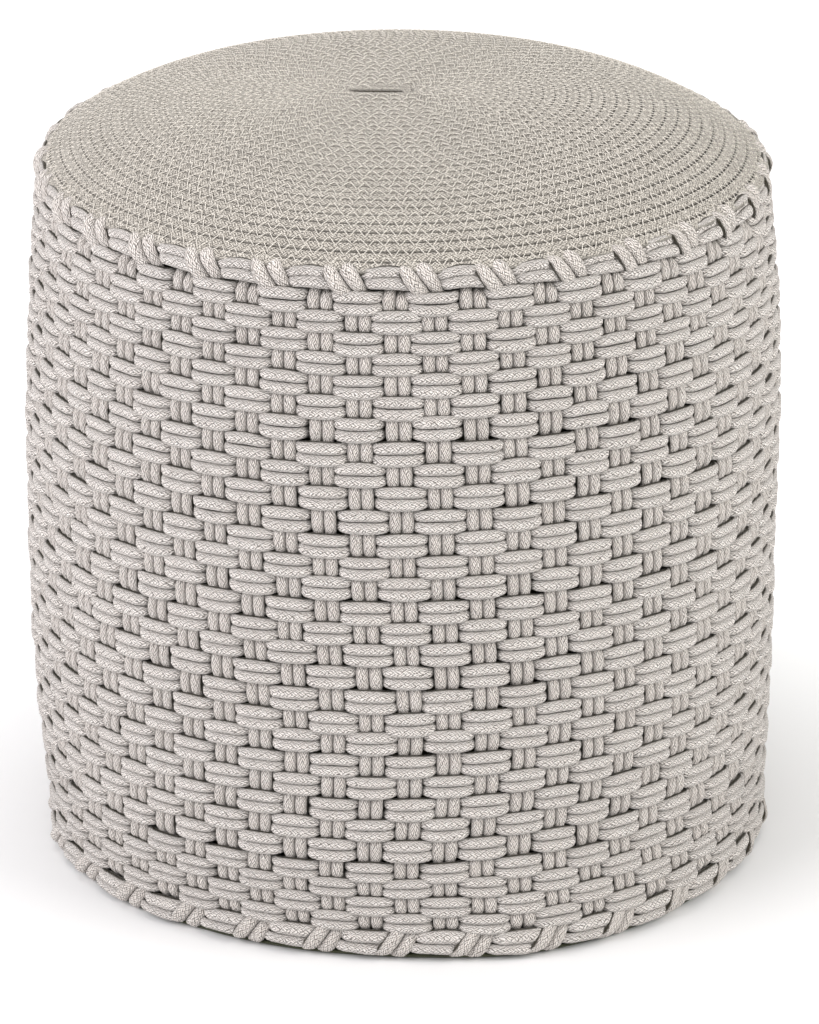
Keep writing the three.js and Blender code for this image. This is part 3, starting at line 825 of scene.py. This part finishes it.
def on_coil(turn, rise, shift=0.0):
    """A point on the coil's line at a number of turns, shifted outward by a share of its pitch."""
    radius = np.interp((turn + COIL_START_PITCHES + shift) * COIL_PITCH, LENGTHS_OUT, RADII_OUT)
    angle = COIL_START + turn * 2 * np.pi
    inward = np.clip(1 - radius / COIL_RADIUS, 0, 1)
    oval = COIL_OVAL / 2 * np.exp(-np.hypot(radius, COIL_OVAL_CORE) / COIL_OVAL_FADE)
    waver = COIL_WAVER * np.sin(5 * angle / (2 * np.pi) + turn) * np.minimum(1, radius / 40)
    notch = np.maximum(0, np.cos(COLUMNS / 2 * (angle - COIL_NOTCH_PLACE * COLUMN_STEP))) ** 2
    at_rim = smoothstep(COIL_RADIUS - COIL_NOTCH_DEPTH, COIL_RADIUS, radius)
    radius = radius + waver - COIL_NOTCH * notch * at_rim
    stretch = oval * flatten_wave(np.sin(angle), COIL_OVAL_SHARPNESS)
    x = radius * np.sin(angle) + stretch + COIL_DRIFT[0] * inward
    y = -radius * np.cos(angle) + COIL_DRIFT[1] * inward
    lift = crown_normal(x, y) * (rise + 0 * x)[..., None]
    return np.stack([x, y, crown_at(x, y)], -1) + lift


def coil_turns(step, first, last):
    """Numbers of turns that are a step apart along the cord."""
    dense = np.linspace(first, last, 20000)
    points = on_coil(dense, 0.0)
    length = np.concatenate([[0], np.cumsum(np.linalg.norm(np.diff(points, axis=0), axis=1))])
    return np.interp(np.arange(0, length[-1], step), length, dense)


def coiled_top():
    rng = np.random.default_rng(11)
    turns = np.concatenate([coil_turns(*samples) for samples in COIL_SAMPLES])
    tuck = smoothstep(*TUCK_TURNS, turns)
    middle = COIL_HEIGHT / 2
    centres = on_coil(turns, middle - TUCK_DOWN * tuck, -TUCK_IN * tuck)
    knots = np.arange((COIL_TURNS + 1) * COIL_KNOTS_PER_TURN)
    uneven = rng.normal(0, COIL_HEIGHT_JITTER, len(knots))
    centres[:, 2] += np.interp(turns * COIL_KNOTS_PER_TURN, knots, uneven)
    half = COIL_PITCH / 2 * COIL_OVERLAP * (1 - TUCK_NARROW * tuck)
    thick = middle * (1 - TUCK_IN * tuck)
    cord = Tubes(COIL_SIDES, COIL_SQUARENESS)
    cord.add(centres, crown_normal(centres[:, 0], centres[:, 1]), half, thick)
    made = cord.build("coil_cord", lift=coil_lift)
    finish_piece(made, "ottoman", COIL_LOOK, "coiled_rope", "coiled_top")


def stitch_path(nodes, heights):
    """Points of a thread that dips into the cord at each node and lies over the groove between."""
    here, after = nodes[:-1], nodes[1:]
    normal = crown_normal(here[:, 0], here[:, 1])
    parts = []
    for share, rise in zip((0, 0.25, 0.5, 0.75), heights):
        parts.append(here * (1 - share) + after * share + rise * normal)
    return np.stack(parts, 1).reshape(-1, 3)


# Stitches: steps along the cord, places across it in pitches, outer first, and heights over it
STITCH_STEP = 4.3
STITCH_REACH = (0.98, 0.02)
STITCH_JITTER = (0.35, 0.07)
STITCH_HEIGHTS = (-0.45, 0.24, 0.16, 0.24)
STITCH_HALF = (0.31, 0.30)
EDGE_TURN = COIL_TURNS - 1.12
EDGE_TURNS = 1.06
EDGE_STEP = 5.2
EDGE_REACH = (0.46, -0.45)
EDGE_FALL = 1.9
EDGE_JITTER = 0.02
EDGE_HEIGHTS = (-0.3, 0.35, 0.5, 0.55)
EDGE_HALF = (0.36, 0.32)
LOOSE_ENDS = 9
LOOSE_LENGTH = 6.5
LOOSE_HALF = (0.28, 0.26)
THREAD_GIRTH = 2.2


def zigzags():
    """The thread over each groove, in two pieces."""
    rng = np.random.default_rng(12)
    turns = coil_turns(STITCH_STEP, 0.1, EDGE_TURN)
    turns = turns + rng.normal(0, STITCH_JITTER[0], len(turns)) / (2 * math.pi * (turns + 1) * COIL_PITCH)
    outer = np.arange(len(turns)) % 2
    reach = np.where(outer, *STITCH_REACH) + rng.normal(0, STITCH_JITTER[1], len(turns))
    lines = stitch_path(on_coil(turns, COIL_HEIGHT, reach), STITCH_HEIGHTS)
    half = len(lines) // 2
    for number, (first, last) in enumerate(((0, half), (half, len(lines)))):
        threads = Tubes(THREAD_SIDES, THREAD_SQUARENESS)
        part = lines[first : last + 1]
        threads.add(part, crown_normal(part[:, 0], part[:, 1]), *STITCH_HALF)
        made = threads.build(f"zigzag_thread_{number + 1}", girth=THREAD_GIRTH)
        finish_piece(made, "ottoman", THREAD_LOOK, "coiled_rope")


def edge_threads():
    """Zigzag over the coil's last turn, and a few loose ends."""
    rng = np.random.default_rng(13)
    threads = Tubes(THREAD_SIDES, THREAD_SQUARENESS)
    steps = 2 * round(2 * math.pi * COIL_RADIUS / EDGE_STEP / 2)
    turns = EDGE_TURN + EDGE_TURNS * np.arange(steps) / steps
    outer = np.arange(steps) % 2
    reach = np.where(outer, *EDGE_REACH) + rng.normal(0, EDGE_JITTER, steps)
    line = stitch_path(on_coil(turns, COIL_HEIGHT - EDGE_FALL * outer, reach), EDGE_HEIGHTS)
    threads.add(line, crown_normal(line[:, 0], line[:, 1]), *EDGE_HALF)
    for _ in range(LOOSE_ENDS):
        turn = COIL_TURNS - 1.2 + 1.1 * rng.random()
        start = on_coil(np.array([turn]), COIL_HEIGHT, 0.2)[0]
        reach = np.array([*rng.normal(0, 1, 2), 0.0])
        reach = LOOSE_LENGTH * reach / np.linalg.norm(reach)
        t = np.linspace(0, 1, 6)[:, None]
        loose = start + reach * t + np.array([0, 0, 1.6]) * t * (1.3 - t) + np.array([0, 0, 0.15])
        loose[:, 2] += crown_at(loose[:, 0], loose[:, 1]) - crown_at(start[0], start[1])
        threads.add(loose, UP, *LOOSE_HALF)
    made = threads.build("edge_thread", girth=THREAD_GIRTH)
    finish_piece(made, "ottoman", THREAD_LOOK, "coiled_rope")


coiled_top()
zigzags()
edge_threads()


# Linings, inner bag and filling. Drops are below the coil's seat, insets from the weave's middle.
LINING_THICKNESS = 0.9
LINING_HEIGHTS = (5.9, 419.0)
LINING_INSET = 7.0
LINING_RADIUS = 203.5
LINING_DROP = 0.9
BAG_THICKNESS = 0.7
BAG_HEIGHTS = (12.0, 418.6)
BAG_INSET = 8.6
BAG_ROUNDINGS = ((5, 396, BAG_HEIGHTS[1]), (3, 30, BAG_HEIGHTS[0]))
BAG_RADIUS = 202.0
BAG_DROP = 2.2
BAG_BASE_RADIUS = 206.0
BAG_BASE_HEIGHT = 11.1
FILLING_HEIGHTS = (12.6, 449.0)
FILLING_RADIUS = 207.5
FILLING_POWERS = (0.34, 0.30)
FILLING_INSET = 10.5
FILLING_DROP = 3.6
SHEET_SEGMENTS = 120
POLE = 0.012


def revolve_grid(heights, radii, segments=SHEET_SEGMENTS, ripple=0.0, seed=0):
    """Rings of points, one at each height, with a slow ripple of that many millimetres."""
    rng = np.random.default_rng(seed)
    angle = 2 * np.pi * np.arange(segments) / segments
    rows = []
    for height, radius in zip(heights, radii):
        r = radius + (ring_noise(rng, 24, angle * 24 / (2 * np.pi), ripple) if ripple else 0)
        rows.append(np.stack([r * np.sin(angle), -r * np.cos(angle), height + 0 * angle], -1))
    return np.stack(rows)


def crowned_grid(radius, drop):
    """A round sheet that follows the crown, that far below it."""
    rings = 40
    grid = revolve_grid(np.zeros(rings), np.linspace(POLE, 1, rings) * radius)
    grid[..., 2] = crown_at(grid[..., 0], grid[..., 1]) - drop
    return grid


def signed_power(values, power):
    return np.sign(values) * np.abs(values) ** power


def linings():
    heights = np.linspace(*LINING_HEIGHTS, 40)
    grid = revolve_grid(heights, mid_radius(heights) - LINING_INSET, segments=160, ripple=0.1, seed=21)
    wall = grid_object("side_lining_cloth", grid, True, LINING_THICKNESS)
    finish_piece(wall, "ottoman", LINING_LOOK, "lining_cloth", "side_lining")
    grid = crowned_grid(LINING_RADIUS, LINING_DROP)
    top = grid_object("top_lining_cloth", grid, True, LINING_THICKNESS)
    finish_piece(top, "ottoman", LINING_LOOK, "lining_cloth", "top_lining")


def inner_bag():
    heights = np.linspace(*BAG_HEIGHTS, 44)
    radii = mid_radius(heights) - BAG_INSET
    for inset, *span in BAG_ROUNDINGS:
        radii = radii - inset * smoothstep(*span, heights) ** 2
    grid = revolve_grid(heights, radii, segments=160, ripple=0.25, seed=22)
    bag = grid_object("bag_wall_cloth", grid, True, BAG_THICKNESS)
    finish_piece(bag, "ottoman", BAG_LOOK, "bag_cloth", "bag_wall")
    bag_top = grid_object("bag_top_cloth", crowned_grid(BAG_RADIUS, BAG_DROP), True, BAG_THICKNESS)
    finish_piece(bag_top, "ottoman", BAG_LOOK, "bag_cloth", "bag_top")
    rings = np.linspace(POLE, 1, 26) * BAG_BASE_RADIUS
    grid = revolve_grid(np.full(26, BAG_BASE_HEIGHT), rings)
    base = grid_object("bag_base_cloth", grid, True, BAG_THICKNESS)
    finish_piece(base, "ottoman", BAG_LOOK, "bag_cloth", "bag_base")


def bag_filling():
    turn = np.linspace(0.02, np.pi - 0.02, 44)
    low, high = FILLING_HEIGHTS
    heights = (low + high) / 2 - (high - low) / 2 * signed_power(np.cos(turn), FILLING_POWERS[0])
    radii = FILLING_RADIUS * signed_power(np.sin(turn), FILLING_POWERS[1])
    radii = np.minimum(radii, mid_radius(heights) - FILLING_INSET)
    grid = revolve_grid(heights, radii, ripple=0.35, seed=23)
    grid[..., 2] = np.minimum(grid[..., 2], crown_at(grid[..., 0], grid[..., 1]) - FILLING_DROP)
    filling = grid_object("filling_fibre", grid, True)
    finish_piece(filling, "ottoman", FILLING_LOOK, "filling", "filling")


linings()
inner_bag()
bag_filling()


# Base cloth with its slot, and the zip
BASE_RADIUS = 220.6
BASE_HEIGHT = 4.6
BASE_THICKNESS = 1.1
HEM_DROP = 3.7
HEM_DROP_RING = (204, 214)
HEM_RISE = 2.2
HEM_RISE_RING = (218.6, 220.6)
SLOT_HALF_WIDTH = 6.5
SLOT_HALF_LENGTH = 174.3


def base_height(radius):
    """Height of the base cloth: flat, then down to a hem that turns up at its edge."""
    drop = HEM_DROP * smoothstep(*HEM_DROP_RING, radius)
    return BASE_HEIGHT - drop + HEM_RISE * smoothstep(*HEM_RISE_RING, radius) ** 1.6


def base_cloth():
    """The base cloth in two halves that meet beyond the ends of the slot."""
    spread = np.linspace(-np.pi / 2, np.pi / 2, 141)[1:-1]
    inside = BASE_RADIUS * np.sin(spread)
    xs = np.sort(np.concatenate([inside, [-SLOT_HALF_LENGTH, SLOT_HALF_LENGTH]]))
    at_slot = np.abs(xs) <= SLOT_HALF_LENGTH + 0.01
    deep = 1 - (1 - np.linspace(0, 1, 34)) ** 2.4
    halves = []
    for sign in (-1, 1):
        inner = np.where(at_slot, SLOT_HALF_WIDTH, 0.0)
        outer = np.sqrt(np.maximum(BASE_RADIUS**2 - xs**2, 0.04))
        y = inner + (outer - inner) * deep[:, None]
        x = np.broadcast_to(xs, y.shape)
        z = base_height(np.hypot(x, y))
        halves.append(np.stack([x, sign * y, z], -1))
    grid = np.concatenate([halves[0][::-1], halves[1]])
    rows, columns = grid.shape[:2]
    index = np.arange(rows * columns).reshape(rows, columns)
    quads = np.stack([index[:-1, :-1], index[:-1, 1:], index[1:, 1:], index[1:, :-1]], -1)
    middle = rows // 2 - 1
    keep = np.ones(quads.shape[:2], bool)
    keep[middle] = False
    merged = np.arange(rows * columns)
    merged[index[middle + 1][~at_slot]] = index[middle][~at_slot]
    used, quads = np.unique(merged[quads[keep]], return_inverse=True)
    quads = quads.reshape(-1, 4)
    points = grid.reshape(-1, 3)[used]
    flat = points[quads][..., :2]
    even = flat / (2 * BASE_RADIUS) + 0.5
    made = mesh_object("base_panel_cloth", points, quads, {"cord_map": flat, "OFBake": even})
    add_thickness(made, BASE_THICKNESS)
    finish_piece(made, "ottoman", BASE_LOOK, "base_cloth", "base_panel")


# Stitches beside the slot: lines across, steps and reach along, and heights of a stitch's ends
BASE_STITCH_LINES = (-8.6, -10.8, 8.6, 10.8)
BASE_STITCH_PLACES = np.arange(-176, 177, 4.0)
BASE_STITCH_SHAPE = ((0, 3.75), (0.5, 3.5), (2.4, 3.5), (2.9, 3.75))


def base_stitching():
    """Two rows of stitches on each side of the slot."""
    threads = Tubes(THREAD_SIDES, THREAD_SQUARENESS)
    for y in BASE_STITCH_LINES:
        for x in BASE_STITCH_PLACES:
            line = np.array([[x + along, y, height] for along, height in BASE_STITCH_SHAPE])
            threads.add(line, UP, 0.3, 0.28)
    made = threads.build("base_stitching", girth=2.0)
    finish_piece(made, "ottoman", HEM_LOOK, "base_cloth")


TOOTH_BEVEL = 0.25
BOX_FACES = [(0, 2, 3, 1), (4, 5, 7, 6), (0, 1, 5, 4), (2, 6, 7, 3), (0, 4, 6, 2), (1, 3, 7, 5)]


def boxes_object(name, boxes):
    """One object of boxes, each from its lower and its upper corner."""
    points = []
    for low, high in boxes:
        x, y, z = zip(low, high)
        points.extend((x[i], y[j], z[k]) for k in (0, 1) for j in (0, 1) for i in (0, 1))
    quads = np.arange(len(boxes))[:, None, None] * 8 + BOX_FACES
    made = mesh_object(name, np.array(points, float), quads.reshape(-1, 4), smooth=False)
    edge = made.modifiers.new("edges", "BEVEL")
    edge.width = TOOTH_BEVEL * MM
    edge.segments = 2
    return made


# The zip: its tapes, and teeth with their reach across and their heights
TAPE_ACROSS = (0.9, 14.9)
TAPE_HALF_LENGTH = 182.0
TAPE_HEIGHT = 6.1
TAPE_THICKNESS = 0.6
TOOTH_STEP = 2.1
TOOTH_LENGTH = 1.3
TOOTH_ACROSS = (0.95, 3.45)
TOOTH_HEIGHTS = (6.85, 8.75)
FIRST_TOOTH = -169.9
LAST_TOOTH = 168.8
METAL_NODES = ("zip_top_stop_front", "zip_top_stop_back", "zip_bottom_stop", "zip_slider", "zip_pull")


def zip_pieces():
    for side, sign in (("front", -1), ("back", 1)):
        across = np.linspace(*TAPE_ACROSS, 8) * sign
        x = np.linspace(-TAPE_HALF_LENGTH, TAPE_HALF_LENGTH, 120)
        y, along = np.meshgrid(across, x, indexing="ij")
        grid = np.stack([along, y, TAPE_HEIGHT + 0.05 * np.sin(along / 9)], -1)
        tape = grid_object(f"zip_tape_cloth_{side}", grid, thickness=TAPE_THICKNESS)
        finish_piece(tape, "ottoman", TAPE_LOOK, "zip_tape", f"zip_tape_{side}")
        boxes = []
        start = FIRST_TOOTH + (0.0 if sign > 0 else TOOTH_STEP / 2)
        for x in np.arange(start, LAST_TOOTH, TOOTH_STEP):
            near, far = sorted(sign * reach for reach in TOOTH_ACROSS)
            boxes.append(((x, near, TOOTH_HEIGHTS[0]), (x + TOOTH_LENGTH, far, TOOTH_HEIGHTS[1])))
        teeth = boxes_object(f"zip_teeth_{side}", boxes)
        finish_piece(teeth, "ottoman", TEETH_LOOK, "zip_teeth", f"zip_row_{side}")


def dress_metal():
    """Gives the carried-over nodes of the zip their look."""
    for name in METAL_NODES:
        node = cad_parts[name]
        node.data.materials.clear()
        node.data.materials.append(METAL_LOOK)
        for slot in node.material_slots:
            slot.link = "OBJECT"
            slot.material = METAL_LOOK


base_cloth()
base_stitching()
zip_pieces()
dress_metal()


# Floor and light. The floor glows to the camera from a distance out, so that it shows white there.
FLOOR_COLOUR = (0.825, 0.828, 0.833, 1)
FLOOR_RINGS = (0.01, 400.0, 1500.0, 9000.0)
GLOW_CENTRE = (0, -0.1, 0)
GLOW_REACH = (0.20, 0.66)
GLOW_LEVELS = (0.0, 0.42)
WORLD_LEVEL = 0.55
LAMP_AIM = Vector((0, 0, 0.2))
LAMPS = (
    # name, place in metres, width, watts, colour
    ("left", (-2.2, -1.2, 1.6), 2.2, 68.0, (1.0, 0.97, 0.985)),
    ("right", (2.3, -1.1, 1.5), 2.0, 57.0, (1.0, 0.98, 0.94)),
    ("top", (-0.2, 0.5, 2.6), 1.8, 18.0, (1.0, 0.99, 0.98)),
)


def seen_rays(tree):
    """1 for rays that show a surface, 0 for those that carry its light to other things."""
    path = tree.nodes.new("ShaderNodeLightPath")
    value = path.outputs["Is Camera Ray"]
    for name in ("Is Glossy Ray", "Is Transmission Ray"):
        larger = tree.nodes.new("ShaderNodeMath")
        larger.operation = "MAXIMUM"
        tree.links.new(value, larger.inputs[0])
        tree.links.new(path.outputs[name], larger.inputs[1])
        value = larger.outputs[0]
    return value


def floor_material():
    """Pale floor that keeps the object's shadow and shows white to the camera farther out."""
    n = Nodes("floor")
    n.tree.nodes.remove(n.shader)
    output = n.tree.nodes["Material Output"]
    diffuse = n.tree.nodes.new("ShaderNodeBsdfDiffuse")
    diffuse.inputs["Color"].default_value = FLOOR_COLOUR
    glow = n.tree.nodes.new("ShaderNodeEmission")
    glow.inputs["Color"].default_value = (1, 1, 1, 1)
    away = n.tree.nodes.new("ShaderNodeVectorMath")
    away.operation = "DISTANCE"
    n.tree.links.new(n.place(), away.inputs[0])
    away.inputs[1].default_value = GLOW_CENTRE
    level = n.ramp(away.outputs["Value"], *GLOW_REACH, *GLOW_LEVELS)
    n.put(glow.inputs["Strength"], n.math("MULTIPLY", seen_rays(n.tree), level))
    both = n.tree.nodes.new("ShaderNodeAddShader")
    n.tree.links.new(diffuse.outputs[0], both.inputs[0])
    n.tree.links.new(glow.outputs[0], both.inputs[1])
    n.tree.links.new(both.outputs[0], output.inputs["Surface"])
    return n.material


def stage_pieces():
    angle = 2 * np.pi * np.arange(64) / 64
    rings = [np.stack([r * np.sin(angle), -r * np.cos(angle), 0 * angle], -1) for r in FLOOR_RINGS]
    floor = grid_object("floor", np.stack(rings), True, settled=False)
    floor.data.materials.append(floor_material())
    world = bpy.data.worlds.new("studio")
    bpy.context.scene.world = world
    world.use_nodes = True
    tree = world.node_tree
    background = tree.nodes["Background"]
    background.inputs["Color"].default_value = (1, 1, 1, 1)
    level = tree.nodes.new("ShaderNodeMapRange")
    tree.links.new(seen_rays(tree), level.inputs[0])
    level.inputs[3].default_value = WORLD_LEVEL
    level.inputs[4].default_value = 1.0
    tree.links.new(level.outputs[0], background.inputs["Strength"])


def lights():
    for name, place, width, watts, tint in LAMPS:
        data = bpy.data.lights.new(name, "AREA")
        data.shape = "DISK"
        data.size = width
        data.energy = watts
        data.color = tint
        lamp = bpy.data.objects.new(name, data)
        bpy.context.scene.collection.objects.link(lamp)
        lamp.location = place
        lamp.rotation_mode = "QUATERNION"
        lamp.rotation_quaternion = (LAMP_AIM - Vector(place)).to_track_quat("-Z", "Y")


# Camera, as fitted to the outline in the photo: angles, focal length in pixels, and its aim and
# distance in radii of the footstool
PITCH = math.radians(23.10)
ROLL = math.radians(-0.75)
FOCAL_PIXELS = 4487.1
FRAME_PIXELS = 1024
SENSOR = 36.0
AIM = Vector((0.017, 0, 0.826))
DISTANCE = 12


def camera():
    data = bpy.data.cameras.new("camera")
    data.sensor_width = SENSOR
    data.lens = FOCAL_PIXELS / FRAME_PIXELS * SENSOR
    data.clip_start = 0.1
    data.clip_end = 100.0
    made = bpy.data.objects.new("camera", data)
    bpy.context.scene.collection.objects.link(made)
    forward = Vector((0, math.cos(PITCH), -math.sin(PITCH)))
    level = Vector((1, 0, 0))
    upright = level.cross(forward)
    right = math.cos(ROLL) * level + math.sin(ROLL) * upright
    up = -math.sin(ROLL) * level + math.cos(ROLL) * upright
    place = AIM * (WIDEST_RADIUS * MM) - forward * (DISTANCE * WIDEST_RADIUS * MM)
    turned = Matrix((right, up, -forward)).transposed().to_4x4()
    made.matrix_world = Matrix.Translation(place) @ turned
    bpy.context.scene.camera = made


stage_pieces()
lights()
camera()
bpy.context.scene.view_settings.view_transform = "Standard"
